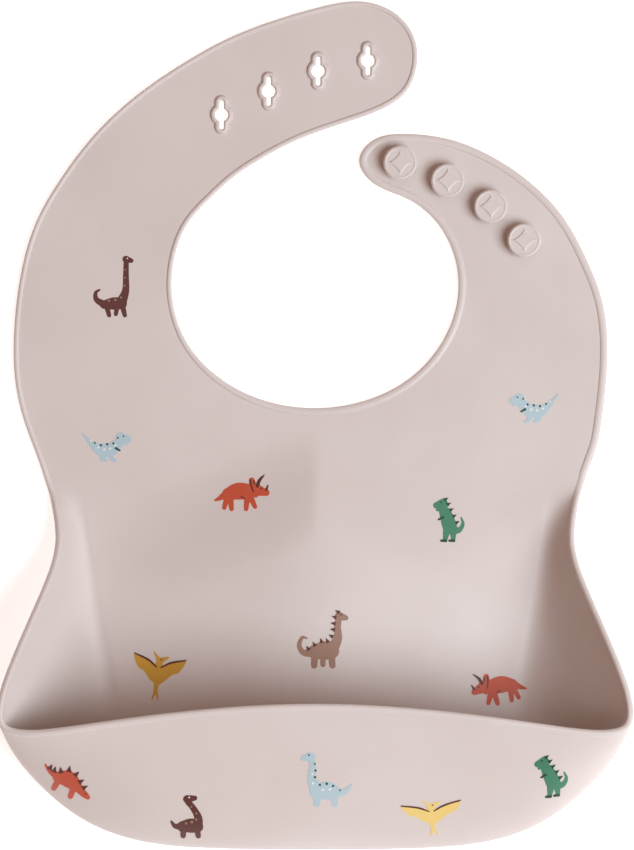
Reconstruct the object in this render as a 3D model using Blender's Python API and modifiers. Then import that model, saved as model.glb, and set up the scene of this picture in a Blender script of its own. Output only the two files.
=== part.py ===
"""A silicone baby bib with a crumb pocket, lying on its back.

X runs across the bib, Y from the pocket towards the neck, and Z out of its front face. The origin is
on the flat back, between the neck opening and the tummy panel. The real bib is one moulding, so it is
divided here where the silicone bends: the pocket front, the chest and the straps are separate nodes on
the flex lines. Lengths below are in millimetres, and meshes are made in metres.
"""

import math

import bmesh
import bpy
import numpy as np
from mathutils import Vector

MM = 0.001

# The sheet
SHEET = 2.0
GAP = 0.3

# Flex lines
FOLD_Y = -7.0
SHOULDER_Y = 45.0
TIP_LINE_INNER = (-30.0, 87.0)
TIP_LINE_OUTER = (-66.0, 116.0)
BETWEEN_STRAPS = ((-12, 92), (12, 104), (60, 109))
TROUGH_Y = -133.0
FRONT_FLEX_Z = 16.0
FRONT_FLEX_GAP = 2.4
GUSSET_X = 72.0

# The outline of the flat part: up the left edge, round the long strap, round the neck, down the right
OUTLINE = (
    (-100.8, -7), (-104, 2), (-107, 16), (-107.5, 30), (-106.4, 44.4), (-103.9, 58.7),
    (-99.2, 73), (-91, 87.3), (-80.3, 101.6), (-65.7, 115.8), (-45, 130.1), (-30, 138.2),
    (-13.9, 144.4), (2, 149), (18, 150.8), (29, 146.5), (35.5, 138), (36.4, 128), (32.5, 118.5),
    (25.5, 113.2), (14.3, 108.7), (-5.7, 101.6), (-19.6, 94.4), (-30, 87.3), (-37.8, 80.1),
    (-44.3, 73), (-50.2, 58.7), (-50.7, 44.4), (-46.1, 30.2), (-33, 16), (-18, 8.6), (0, 5.9),
    (18, 8.6), (33, 16), (45.7, 30.2), (50.7, 44.4), (50, 58.7), (42.5, 73), (32.8, 80.4),
    (20, 86.6), (15.7, 94.4), (20.5, 101.3), (32.1, 103.7), (48.6, 101.6), (65.3, 94.4),
    (75.7, 87.3), (89.3, 73), (97.1, 58.7), (102.5, 44.4), (104.4, 30), (104, 16),
    (102.4, 2), (100.8, -7),
)

# The tummy panel and the pocket, left half. Each station is a run across the sheet, from the panel
# (x, y), by the foot of the wall and its swell, to the free rim (each x, y, z).
STATIONS = (
    ((-84, -7), (-90, -7, 0), (-95.5, -7, 0), (-100.8, -7, 0)),
    ((-82.5, -18), (-88, -18, 0), (-92.5, -18, 0), (-96.9, -18, 0.8)),
    ((-81.5, -29), (-86, -29, -0.3), (-90, -29, 0.6), (-94, -29, 4.5)),
    ((-79.5, -42), (-85, -42, -0.8), (-88.5, -42, 2.4), (-92.2, -41.7, 12)),
    ((-76.5, -60), (-84, -60, -1.2), (-88.5, -60, 4.5), (-96.8, -59, 24)),
    ((-72.5, -80), (-81, -80, -1.6), (-89.5, -81, 6), (-104.6, -78.3, 37)),
    ((-69, -100), (-80, -102, -2), (-95, -105, 9), (-110.3, -96.4, 46)),
    ((-65, -117), (-83, -123, -2.5), (-109.5, -122, 11), (-108.3, -105.2, 48)),
    ((-53, -126), (-77, -139, -3.5), (-102, -141.5, 15), (-99, -107.0, 49.3)),
    ((-38, -129.5), (-58, -150, -4), (-88.5, -159, 19), (-81, -104.8, 50.6)),
    ((-16, -130.5), (-28, -154, -4.5), (-53, -169.2, 21), (-46.5, -100, 52.2)),
    ((0, -131), (0, -155.5, -4.5), (0, -169.6, 22), (0, -97.2, 53)),
)
CORNER_STATION = 7
SIDE_STEPS = 14
BOTTOM_STEPS = 26
WALL_STEPS = 9

# The soft ridge down the middle of the tummy panel
RIDGE_HEIGHT = 9.0
RIDGE_HALF_WIDTH = 80.0
RIDGE_CREST = 0.18
RIDGE_TOP_Y = -7.0
RIDGE_TOP_DROP = 24.0
RIDGE_RISE = 40.0
RIDGE_FALL = (-95.0, -150.0)

# Buttonholes: a round hole with a slit through it, inside a raised ring
BUTTONHOLES = ((-33.3, 110.4), (-16.5, 118.8), (1.1, 126.0), (18.9, 129.7))
HOLE_RADIUS = 2.35
SLIT_HALF_WIDTH = 0.8
SLIT_HALF_LENGTH = 5.3
RING_WIDTH = 1.6
RING_TOP = 2.9

# Studs: a stem through the strap with a flat head that stands clear of it
STUDS = ((30.3, 93.1), (47.2, 86.7), (62.5, 77.5), (74.4, 65.5))
STEM_RADIUS = 2.6
HEAD_RADIUS = 6.0
HEAD_BOTTOM = 4.6
HEAD_TOP = 7.2
HEAD_EDGE = 0.9
STAR_RADIUS = 3.9
STAR_WAIST = 2.5
STAR_HEIGHT = 0.35
ROUND_STEPS = 28
RELIEF_ROOT = 0.6

# How far the zones that divide the sheet run past it, across the bib, below the flat part and above it
FAR = 200.0
BELOW = -9.0
ABOVE = 9.0
STRAPS_APART_X = 8.5
SHORT_STRAP_END_Y = 106.5
HOLE_CUT = (-3.0, 5.0)
UNDER_LOWER = -5.0
OVER_RIM = 90.0
PANEL_TOP_Y = 20.0
FRONT_BACK_Y = -60.0

SILICONE = (0.65, 0.59, 0.55)

# Each moving group: its hinge's place, the group that carries it, and its nodes
HINGES = {
    "pocket": ((0, -146, 17.2), None, ("pocket_front",)),
    "chest": ((0, FOLD_Y + GAP / 2, SHEET), None, ("chest_panel",)),
    "long_strap": ((-78.7, SHOULDER_Y, SHEET), "chest", ("buttonhole_strap",)),
    "long_strap_tip": ((-48, 101.5, SHEET), "long_strap", ("buttonhole_strap_tip", "buttonhole_ring")),
    "short_strap": ((76.5, SHOULDER_Y, SHEET), "chest", ("button_strap", "stud")),
}


# ---------------------------------------------------------------------- curves and surfaces


def smoothstep(value):
    value = min(max(value, 0.0), 1.0)
    return value * value * (3 - 2 * value)


def spline(knots, values, places):
    """The natural cubic spline through the values, read at the places."""
    knots = np.asarray(knots, float)
    values = np.asarray(values, float)
    count = len(knots)
    gaps = np.diff(knots)
    slopes = np.diff(values, axis=0) / gaps[:, None]
    system = np.eye(count)
    right = np.zeros_like(values)
    for i in range(1, count - 1):
        system[i, i - 1 : i + 2] = gaps[i - 1], 2 * (gaps[i - 1] + gaps[i]), gaps[i]
        right[i] = 6 * (slopes[i] - slopes[i - 1])
    bends = np.linalg.solve(system, right)
    span = np.clip(np.searchsorted(knots, places, side="right") - 1, 0, count - 2)
    gap = gaps[span][:, None]
    after = (np.asarray(places) - knots[span])[:, None]
    before = gap - after
    return (
        (bends[span] * before**3 + bends[span + 1] * after**3) / (6 * gap)
        + (values[span] / gap - bends[span] * gap / 6) * before
        + (values[span + 1] / gap - bends[span + 1] * gap / 6) * after
    )


def ridge(x, y):
    """Height of the sheet's back over the table, on the tummy panel."""
    across = abs(x) / RIDGE_HALF_WIDTH
    crest = RIDGE_CREST
    tent = 1 - (math.hypot(across, crest) - crest) / (math.hypot(1, crest) - crest)
    start = RIDGE_TOP_Y - RIDGE_TOP_DROP * across
    rise = smoothstep((start - y) / RIDGE_RISE)
    high, low = RIDGE_FALL
    fall = 1 - smoothstep((high - y) / (high - low))
    return RIDGE_HEIGHT * max(tent, 0) * rise * fall


def station_controls():
    """Four control points for every station, left side, middle and then the mirrored right side."""
    half = []
    for panel, foot, swell, rim in STATIONS:
        half.append(np.array([(*panel, ridge(*panel)), foot, swell, rim], float))
    mirror = np.array([-1.0, 1.0, 1.0])
    return half + [controls * mirror for controls in reversed(half[:-1])]


def lower_surface():
    """Rows of points of the sheet's back, in two grids that share an edge: the panel and the wall."""
    controls = np.array(station_controls())
    steps = np.linalg.norm(np.diff(controls, axis=0), axis=2).mean(axis=1)
    knots = np.concatenate([[0], np.cumsum(steps)])
    corner, far_corner = knots[CORNER_STATION], knots[-1 - CORNER_STATION]
    side = np.linspace(0, corner, SIDE_STEPS + 1)
    bottom = np.linspace(corner, far_corner, BOTTOM_STEPS + 1)
    places = np.concatenate([side[:-1], bottom, knots[-1] - side[:-1][::-1]])
    net = spline(knots, controls.reshape(len(controls), -1), places).reshape(-1, 4, 3)
    t = np.linspace(0, 1, WALL_STEPS + 1)[:, None]
    weights = np.hstack([(1 - t) ** 3, 3 * t * (1 - t) ** 2, 3 * t**2 * (1 - t), t**3])
    wall = np.einsum("tk,ukc->utc", weights, net)

    edge = wall[:, 0]
    left = edge[: SIDE_STEPS + 1]
    right = edge[::-1][: SIDE_STEPS + 1]
    low = edge[SIDE_STEPS : SIDE_STEPS + BOTTOM_STEPS + 1]
    down = np.linspace(0, 1, SIDE_STEPS + 1)[:, None, None]
    over = np.linspace(0, 1, BOTTOM_STEPS + 1)[None, :, None]
    top = left[0] * (1 - over) + right[0] * over
    panel = (
        (1 - down) * top + down * low[None] + (1 - over) * left[:, None] + over * right[:, None]
        - (1 - down) * top
        - down * ((1 - over) * low[0] + over * low[-1])
    )
    for row in panel[1:-1, 1:-1]:
        for point in row:
            point[2] = ridge(point[0], point[1])
    return panel, wall


# ---------------------------------------------------------------------- Blender helpers


def clear_scene():
    for obj in list(bpy.data.objects):
        bpy.data.objects.remove(obj, do_unlink=True)


def new_collection(name):
    found = bpy.data.collections.new(name)
    bpy.context.scene.collection.children.link(found)
    return found


def material(name, color, roughness=0.55):
    made = bpy.data.materials.new(name)
    made.use_nodes = True
    shader = made.node_tree.nodes["Principled BSDF"]
    shader.inputs["Base Color"].default_value = (*color, 1)
    shader.inputs["Roughness"].default_value = roughness
    shader.inputs["Metallic"].default_value = 0.0
    made.diffuse_color = (*color, 1)
    return made


def mesh_object(name, mesh, where):
    obj = bpy.data.objects.new(name, mesh)
    where.objects.link(obj)
    return obj


def grids_mesh(name, grids):
    """One mesh of several grids of points, with the rows they share merged."""
    build = bmesh.new()
    for grid in grids:
        rows = [[build.verts.new(Vector(point) * MM) for point in row] for row in grid]
        for above, below in zip(rows, rows[1:]):
            for a, b, c, d in zip(above, above[1:], below[1:], below):
                build.faces.new((a, b, c, d))
    bmesh.ops.remove_doubles(build, verts=build.verts, dist=0.01 * MM)
    bmesh.ops.recalc_face_normals(build, faces=build.faces)
    mesh = bpy.data.meshes.new(name)
    build.to_mesh(mesh)
    build.free()
    return mesh


def plate_mesh(name, outlines, bottom, top, smooth=False):
    """A flat plate from closed outlines, the later ones holes. Smooth ones curve between points."""
    curve = bpy.data.curves.new(name, "CURVE")
    curve.dimensions = "2D"
    curve.fill_mode = "BOTH"
    curve.extrude = (top - bottom) / 2 * MM
    curve.resolution_u = 3
    for outline in outlines:
        outline_spline = curve.splines.new("BEZIER")
        outline_spline.bezier_points.add(len(outline) - 1)
        outline_spline.use_cyclic_u = True
        for i, (x, y) in enumerate(outline):
            point = outline_spline.bezier_points[i]
            at_corner = not smooth or i in (0, len(outline) - 1)
            point.co = (x * MM, y * MM, 0)
            point.handle_left_type = "VECTOR" if at_corner else "AUTO"
            point.handle_right_type = "VECTOR" if at_corner else "AUTO"
        if not smooth:
            outline_spline.resolution_u = 1
    obj = bpy.data.objects.new(name, curve)
    bpy.context.scene.collection.objects.link(obj)
    bpy.context.view_layer.update()
    mesh = bpy.data.meshes.new_from_object(obj.evaluated_get(bpy.context.evaluated_depsgraph_get()))
    bpy.data.objects.remove(obj, do_unlink=True)
    mesh.name = name
    build = bmesh.new()
    build.from_mesh(mesh)
    bmesh.ops.remove_doubles(build, verts=build.verts, dist=0.005 * MM)
    bmesh.ops.translate(build, verts=build.verts, vec=(0, 0, (bottom + top) / 2 * MM))
    bmesh.ops.recalc_face_normals(build, faces=build.faces)
    build.to_mesh(mesh)
    build.free()
    return mesh


def prism(name, outline, bottom, top, cutters):
    obj = mesh_object(name, plate_mesh(name, [outline], bottom, top), cutters)
    obj.hide_render = True
    obj.display_type = "WIRE"
    return obj


def box_outline(low_x, low_y, high_x, high_y):
    return [(low_x, low_y), (high_x, low_y), (high_x, high_y), (low_x, high_y)]


def boolean(obj, other, operation):
    modifier = obj.modifiers.new(other.name, "BOOLEAN")
    modifier.operation = operation
    modifier.solver = "EXACT"
    modifier.object = other


def smooth(obj):
    obj.data.shade_smooth()
    obj.data.set_sharp_from_angle(angle=math.radians(35))


# ---------------------------------------------------------------------- outlines


def keyhole_outline(grow):
    """A round hole with a slit through it along Y, every side moved out by grow."""
    radius = HOLE_RADIUS + grow
    half = SLIT_HALF_WIDTH + grow
    reach = SLIT_HALF_LENGTH + grow
    turn = math.asin(half / radius)
    points = []
    for start in (0, math.pi):
        for i in range(5):
            angle = start - math.pi / 2 + turn + (math.pi - 2 * turn) * i / 4
            points.append((radius * math.cos(angle), radius * math.sin(angle)))
        for i in range(5):
            angle = start + math.pi * i / 4
            end_y = (reach - half) * math.cos(start)
            points.append((half * math.cos(angle), end_y + half * math.sin(angle)))
    return points


def star_outline():
    """Four points with hollow sides between them."""
    points = []
    for quarter in range(4):
        for i in range(4):
            across = i / 4
            angle = math.pi / 2 * (quarter + across)
            radius = STAR_RADIUS - (STAR_RADIUS - STAR_WAIST) * math.sin(math.pi * across)
            points.append((radius * math.cos(angle), radius * math.sin(angle)))
    return points


def moved(outline, place):
    return [(x + place[0], y + place[1]) for x, y in outline]


def circle_outline(radius):
    turns = [2 * math.pi * i / ROUND_STEPS for i in range(ROUND_STEPS)]
    return [(radius * math.cos(turn), radius * math.sin(turn)) for turn in turns]


# ---------------------------------------------------------------------- the parts


def beyond_tip_line(offset):
    """The region past the tip's flex line, that line moved out by offset. It clears the short strap."""
    inner, outer = Vector(TIP_LINE_INNER), Vector(TIP_LINE_OUTER)
    along = (outer - inner).normalized()
    out = Vector((along.y, -along.x))
    near = inner - along * 8 + out * offset
    far = outer + along * 30 + out * offset
    return [tuple(near), *BETWEEN_STRAPS, (BETWEEN_STRAPS[-1][0], FAR), (far.x, FAR), tuple(far)]


def add_flat_zones(parts, cutters):
    """The chest and the straps, each the part of one flat plate that lies in its zone."""
    plate = plate_mesh("flat_plate", [OUTLINE], 0, SHEET, smooth=True)
    half = GAP / 2
    high = SHOULDER_Y + half
    apart = STRAPS_APART_X
    tip = prism("zone_tip", beyond_tip_line(half), BELOW, ABOVE, cutters)
    tip_and_gap = prism("zone_tip_and_gap", beyond_tip_line(-half), BELOW, ABOVE, cutters)
    chest_box = box_outline(-FAR, FOLD_Y + GAP, FAR, SHOULDER_Y - half)
    chest = prism("zone_chest", chest_box, BELOW, ABOVE, cutters)
    left = prism("zone_left_strap", box_outline(-FAR, high, apart - half, FAR), BELOW, ABOVE, cutters)
    right_box = box_outline(apart + half, high, FAR, SHORT_STRAP_END_Y)
    right = prism("zone_right_strap", right_box, BELOW, ABOVE, cutters)
    made = {}
    for name, zone in (
        ("chest_panel", chest),
        ("buttonhole_strap", left),
        ("buttonhole_strap_tip", tip),
        ("button_strap", right),
    ):
        made[name] = mesh_object(name, plate.copy(), parts)
        boolean(made[name], zone, "INTERSECT")
    boolean(made["buttonhole_strap"], tip_and_gap, "DIFFERENCE")

    for i, place in enumerate(BUTTONHOLES, 1):
        outer = moved(keyhole_outline(RING_WIDTH), place)
        clear = moved(keyhole_outline(RING_WIDTH + GAP), place)
        hole = moved(keyhole_outline(0), place)
        cut = prism(f"cut_buttonhole_{i}", clear, *HOLE_CUT, cutters)
        boolean(made["buttonhole_strap_tip"], cut, "DIFFERENCE")
        name = f"buttonhole_ring_{i}"
        made[name] = mesh_object(name, plate_mesh(name, [outer, hole], 0, RING_TOP), parts)

    for i, place in enumerate(STUDS, 1):
        clear = moved(circle_outline(STEM_RADIUS + GAP), place)
        cut = prism(f"cut_stud_{i}", clear, *HOLE_CUT, cutters)
        boolean(made["button_strap"], cut, "DIFFERENCE")
        made[f"stud_{i}"] = add_stud(f"stud_{i}", place, parts, cutters)
    return made


def stud_profile():
    """Radius and height down the outer side of a stud, from the middle of its top."""
    points = [(0, HEAD_TOP)]
    for middle_z, first in ((HEAD_TOP - HEAD_EDGE, 90), (HEAD_BOTTOM + HEAD_EDGE, 0)):
        for i in range(4):
            angle = math.radians(first - 30 * i)
            middle_r = HEAD_RADIUS - HEAD_EDGE
            points.append((middle_r + HEAD_EDGE * math.cos(angle), middle_z + HEAD_EDGE * math.sin(angle)))
    return points + [(STEM_RADIUS, HEAD_BOTTOM), (STEM_RADIUS, 0), (0, 0)]


def add_stud(name, place, parts, cutters):
    """A turned stud, with a low four-pointed relief on its head."""
    mesh = bpy.data.meshes.new(name)
    profile = stud_profile()
    verts = [(radius * MM, 0, height * MM) for radius, height in profile]
    mesh.from_pydata(verts, [(i, i + 1) for i in range(len(verts) - 1)], [])
    stud = mesh_object(name, mesh, parts)
    stud.location = (place[0] * MM, place[1] * MM, 0)
    screw = stud.modifiers.new("turned", "SCREW")
    screw.steps = ROUND_STEPS
    screw.render_steps = ROUND_STEPS
    screw.use_merge_vertices = True
    screw.merge_threshold = 0.00001
    screw.use_normal_calculate = True
    low, high = HEAD_TOP - RELIEF_ROOT, HEAD_TOP + STAR_HEIGHT
    relief = prism(f"relief_{name}", moved(star_outline(), place), low, high, cutters)
    boolean(stud, relief, "UNION")
    return stud


def add_lower_zones(parts, cutters):
    """The tummy panel, trough, gussets and pocket front, each a zone of one bent sheet."""
    sheet = grids_mesh("lower_sheet", lower_surface())
    x, half, front, high = GUSSET_X, GAP / 2, FRONT_FLEX_Z, OVER_RIM
    zones = {
        "tummy_panel": (box_outline(-x, TROUGH_Y + half, x, PANEL_TOP_Y), UNDER_LOWER, front),
        "pocket_trough": (box_outline(-x, -FAR, x, TROUGH_Y - half), UNDER_LOWER, front),
        "pocket_front": (box_outline(-x, -FAR, x, FRONT_BACK_Y), front + FRONT_FLEX_GAP, high),
        "gusset_left": (box_outline(-FAR, -FAR, -x - GAP, PANEL_TOP_Y), UNDER_LOWER, high),
        "gusset_right": (box_outline(x + GAP, -FAR, FAR, PANEL_TOP_Y), UNDER_LOWER, high),
    }
    made = {}
    for name, (outline, low, high) in zones.items():
        obj = mesh_object(name, sheet.copy(), parts)
        solidify = obj.modifiers.new("thickness", "SOLIDIFY")
        solidify.thickness = SHEET * MM
        solidify.offset = -1.0
        solidify.use_even_offset = True
        boolean(obj, prism(f"zone_{name}", outline, low, high, cutters), "INTERSECT")
        made[name] = obj
    return made


def add_hinges(made, parts):
    """An empty on every hinge, with the nodes that turn on it as its children."""
    empties = {}
    for group, (place, _, _) in HINGES.items():
        empty = bpy.data.objects.new(f"hinge_{group}", None)
        empty.empty_display_size = 10 * MM
        parts.objects.link(empty)
        empty.location = Vector(place) * MM
        empties[group] = empty
    bpy.context.view_layer.update()
    for group, (_, carrier, names) in HINGES.items():
        if carrier:
            hang(empties[group], empties[carrier])
        for name, obj in made.items():
            if name in names or name.rstrip("_0123456789") in names:
                hang(obj, empties[group])


def hang(child, empty):
    """Makes the child turn with the empty, and leaves it where it is."""
    child.parent = empty
    child.matrix_parent_inverse = empty.matrix_world.inverted()


def main():
    clear_scene()
    parts = new_collection("silicone_bib")
    cutters = new_collection("cutters")
    made = add_flat_zones(parts, cutters)
    made.update(add_lower_zones(parts, cutters))
    for name, obj in made.items():
        smooth(obj)
        obj.data.materials.clear()
        obj.data.materials.append(material(name, SILICONE))
    add_hinges(made, parts)


main()
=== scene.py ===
"""The looks of the silicone bib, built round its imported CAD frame.

Lengths in the tables are millimetres in the row frame, X across the bib, Y from the pocket to the neck
and Z out of its front; meshes are made in metres. The silicone is one continuous skin, cut only where no
joint bends it. A bead runs round its edge, and the printed figures are thin inked shells on top.
"""

import math

import bmesh
import bpy
import numpy as np
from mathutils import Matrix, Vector
from mathutils.bvhtree import BVHTree
from mathutils.geometry import delaunay_2d_cdt

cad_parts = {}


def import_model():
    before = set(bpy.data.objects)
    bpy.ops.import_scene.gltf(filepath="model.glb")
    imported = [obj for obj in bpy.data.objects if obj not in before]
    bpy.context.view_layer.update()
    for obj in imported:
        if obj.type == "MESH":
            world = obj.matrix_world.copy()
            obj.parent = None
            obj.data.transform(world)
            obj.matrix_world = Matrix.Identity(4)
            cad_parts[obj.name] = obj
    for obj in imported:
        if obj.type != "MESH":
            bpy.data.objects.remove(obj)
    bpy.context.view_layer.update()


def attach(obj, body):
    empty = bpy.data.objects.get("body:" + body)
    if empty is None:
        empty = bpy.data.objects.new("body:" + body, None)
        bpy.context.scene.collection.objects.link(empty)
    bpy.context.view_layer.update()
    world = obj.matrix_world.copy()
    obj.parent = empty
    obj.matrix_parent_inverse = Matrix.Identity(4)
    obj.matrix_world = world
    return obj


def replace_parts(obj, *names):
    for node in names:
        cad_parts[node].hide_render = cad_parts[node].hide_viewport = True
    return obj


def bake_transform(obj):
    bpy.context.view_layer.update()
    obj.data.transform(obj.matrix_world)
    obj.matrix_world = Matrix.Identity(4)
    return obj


MM = 0.001

# ---------------------------------------------------------------------- the shape, as in the CAD

SHEET = 2.0
OUTLINE = (
    (-100.8, -7), (-104, 2), (-107, 16), (-107.5, 30), (-106.4, 44.4), (-103.9, 58.7),
    (-99.2, 73), (-91, 87.3), (-80.3, 101.6), (-65.7, 115.8), (-45, 130.1), (-30, 138.2),
    (-13.9, 144.4), (2, 149), (18, 150.8), (29, 146.5), (35.5, 138), (36.4, 128), (32.5, 118.5),
    (25.5, 113.2), (14.3, 108.7), (-5.7, 101.6), (-19.6, 94.4), (-30, 87.3), (-37.8, 80.1),
    (-44.3, 73), (-50.2, 58.7), (-50.7, 44.4), (-46.1, 30.2), (-33, 16), (-18, 8.6), (0, 5.9),
    (18, 8.6), (33, 16), (45.7, 30.2), (50.7, 44.4), (50, 58.7), (42.5, 73), (32.8, 80.4),
    (20, 86.6), (15.7, 94.4), (20.5, 101.3), (32.1, 103.7), (48.6, 101.6), (65.3, 94.4),
    (75.7, 87.3), (89.3, 73), (97.1, 58.7), (102.5, 44.4), (104.4, 30), (104, 16),
    (102.4, 2), (100.8, -7),
)
# Below the seam the outline runs on down the waist, for the spline's sake
WAIST = ((-94, -29), (-96.9, -18))

# Panel (x, y), foot, swell and rim of the bent sheet, left half
STATIONS = (
    ((-84, -7), (-90, -7, 0), (-95.5, -7, 0), (-100.8, -7, 0)),
    ((-82.5, -18), (-88, -18, 0), (-92.5, -18, 0), (-96.9, -18, 0)),
    ((-81.5, -29), (-86, -29, -0.3), (-90, -29, 0.6), (-94, -29, 4.5)),
    ((-79.5, -42), (-85, -42, -0.8), (-88.5, -42, 2.4), (-92.2, -41.7, 12)),
    ((-76.5, -60), (-84, -60, -1.2), (-88.5, -60, 4.5), (-96.8, -59, 24)),
    ((-72.5, -80), (-81, -80, -1.6), (-89.5, -81, 6), (-104.6, -78.3, 37)),
    ((-69, -100), (-80, -102, -2), (-95, -105, 9), (-110.3, -96.4, 46)),
    ((-65, -117), (-83, -123, -2.5), (-109.5, -122, 11), (-108.3, -105.2, 48)),
    ((-53, -126), (-77, -139, -3.5), (-102, -141.5, 15), (-99, -107.0, 49.3)),
    ((-38, -129.5), (-58, -150, -4), (-88.5, -159, 19), (-81, -104.8, 50.6)),
    ((-16, -130.5), (-28, -154, -4.5), (-53, -169.2, 21), (-46.5, -100, 52.2)),
    ((0, -131), (0, -155.5, -4.5), (0, -169.6, 22), (0, -97.2, 53)),
)
# The skin starts at the seam's station, and the net changes its spacing at the pocket's corner
FIRST_STATION = 1
CORNER_STATION = 7
PANEL_MIDDLE_Y = -80.0
SIDE_ROWS = 64
BOTTOM_COLUMNS = 110
WALL_STEPS = 44

# The soft ridge down the tummy panel: it rises below the chest and falls away into the pocket
RIDGE_HEIGHT = 9.0
RIDGE_HALF_WIDTH = 80.0
RIDGE_CREST = 0.4
RIDGE_TOP_Y = 0.0
RIDGE_TOP_DROP = 30.0
RIDGE_RISE = 44.0
RIDGE_FALL = (-95.0, -150.0)

# Where one skin stops and the next begins, all of them where nothing bends
SEAM_Y = -18.0
SHOULDER_SEAM_Y = 33.0
TIP_AXIS = (-48.0, 101.5)
TIP_OUT = (0.6273, 0.7787)
TIP_SEAM_BACK = 14.0
STRAPS_APART_X = 8.5
SHORT_STRAP_END_Y = 106.5
# Ends of the straight cuts, past the edges of the flat part
SEAM_CUT_X = (-99, 99)
LEFT_SHOULDER_CUT_X = (-110, -44)
RIGHT_SHOULDER_CUT_X = (44, 108)
TIP_CUT_REACH = (45, 40)

# The bead along the edge and the lip of the pocket: how far in its middle lies, half width and half height
EDGE_INSET = 1.0
BEAD_HALF_WIDTH = (1.0, 1.5)
BEAD_HALF_HEIGHT = 1.25
BEAD_WIDENS_X = (-60.0, 0.0)
LIP = (1.05, 1.2, 1.15)
# The waist leaves the seam level, and rises over this run
LEVEL_RUN = 13.0
BEAD_TO_LIP_Y = (-7.0, -45.0)
BEAD_SQUARENESS = 2.6
BEAD_SIDES = 20
BEAD_STEP = 0.25
BEAD_STRIDE = 5
EDGE_STEP = 1.2
SEAM_STEP = 1.6
# Spacing of the points inside the flat skins, the field they fill, and how near the edges they come
CELL = 2.6
FIELD = ((-110, -20), (108, 152))
CLEAR_OF_EDGE = 0.42

BUTTONHOLES = ((-33.3, 110.4), (-16.5, 118.8), (1.1, 126.0), (18.9, 129.7))
HOLE_RADIUS = 2.35
SLIT_HALF_WIDTH = 0.8
SLIT_HALF_LENGTH = 5.3
HOLE_IN_SKIN = 0.8
# (growth from the hole's edge, height), up the inside of the ring, over its top and back underneath
RING_SECTION = (
    (0.0, 0.0), (0.0, 2.35), (0.08, 2.75), (0.3, 3.0), (0.65, 3.12), (1.0, 3.05), (1.35, 2.8),
    (1.62, 2.4), (1.78, 1.9), (1.78, 1.0), (0.74, 1.0), (0.74, 0.0),
)

STUDS = ((30.3, 93.1), (47.2, 86.7), (62.5, 77.5), (74.4, 65.5))
STEM_RADIUS = 2.6
HEAD_RADIUS = 6.0
HEAD_BOTTOM = 4.6
HEAD_TOP = 7.2
HEAD_EDGE = 0.9
STAR_RADIUS = 3.9
STAR_HOLLOW = 0.8
STAR_HEIGHT = 0.35
STAR_EDGE = 0.5
# Low rim on the head: its inner radius, its height and the run it rises over
HEAD_LIP = (4.9, 0.18, 0.35)
STUD_SIDES = 96
HEAD_RINGS = 31
HEAD_CENTRE = 0.25
# (radius, height) from the underside of the head down the stem to its foot in the strap
STEM = (
    (STEM_RADIUS + 0.5, HEAD_BOTTOM), (STEM_RADIUS + 0.1, HEAD_BOTTOM - 0.4), (STEM_RADIUS, 3.4),
    (STEM_RADIUS + 0.1, 2.6), (STEM_RADIUS + 0.7, 1.95), (STEM_RADIUS + 0.7, 0.8), (STEM_RADIUS, 0.4),
)

# How far an ink film stands over the silicone and roots in it, and how much each later color adds
INK_TOP = 0.12
INK_ROOT = 0.12
INK_STEP = 0.05
INK_CELL = 1.4
INK_CLEAR_OF_EDGE = 0.35
THINNEST_LIMB = 0.3
SPIKE_ROOT = 0.4
DOT_SIDES = 12
# Prints are laid on from above: those on the pocket's front from over the rim, the others from under it
FRONT_Y = -110.0
OVER_FRONT = 200.0
UNDER_RIM = 30.0

# Degrees at which an edge looks sharp, on sheet, on small moulded shapes and on ink
SHEET_SHARP = 40
SHARP_BEND = 50
INK_SHARP = 60
PICTURE_GAMMA = 2.2

# Metres, watts and linear colors
FLOOR_HALF = 3.0
FLOOR_DROP = -0.0004
FLOOR_GLOW = 0.6
SKY_COLOR = (1, 0.5, 0.32, 1)
SKY_STRENGTH = 0.28
# name, place, size, power, color
LIGHTS = (
    ("key", (1.1, -0.5, 1.65), 1.4, 42.5, (0.87, 1, 1.1)),
    ("fill", (0.1, 1.0, 1.7), 1.2, 3, (0.87, 1, 1.1)),
)
CAMERA_PLACE = (0.0007, -0.0002, 1.6)
CAMERA_LENS = 189.8
CAMERA_SENSOR = 36.0


def smoothstep(value):
    value = min(max(value, 0.0), 1.0)
    return value * value * (3 - 2 * value)


def spline(knots, values, places):
    """The natural cubic spline through the values, read at the places."""
    knots = np.asarray(knots, float)
    values = np.asarray(values, float)
    count = len(knots)
    gaps = np.diff(knots)
    slopes = np.diff(values, axis=0) / gaps[:, None]
    system = np.eye(count)
    right = np.zeros_like(values)
    for i in range(1, count - 1):
        system[i, i - 1 : i + 2] = gaps[i - 1], 2 * (gaps[i - 1] + gaps[i]), gaps[i]
        right[i] = 6 * (slopes[i] - slopes[i - 1])
    bends = np.linalg.solve(system, right)
    span = np.clip(np.searchsorted(knots, places, side="right") - 1, 0, count - 2)
    gap = gaps[span][:, None]
    after = (np.asarray(places) - knots[span])[:, None]
    before = gap - after
    return (
        (bends[span] * before**3 + bends[span + 1] * after**3) / (6 * gap)
        + (values[span] / gap - bends[span] * gap / 6) * before
        + (values[span + 1] / gap - bends[span + 1] * gap / 6) * after
    )


def ridge(x, y):
    """Height of the sheet's back over the table, on the tummy panel."""
    across = abs(x) / RIDGE_HALF_WIDTH
    crest = RIDGE_CREST
    tent = 1 - (math.hypot(across, crest) - crest) / (math.hypot(1, crest) - crest)
    rise = smoothstep((RIDGE_TOP_Y - RIDGE_TOP_DROP * across - y) / RIDGE_RISE)
    high, low = RIDGE_FALL
    fall = 1 - smoothstep((high - y) / (high - low))
    return RIDGE_HEIGHT * max(tent, 0) * rise * fall


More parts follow.
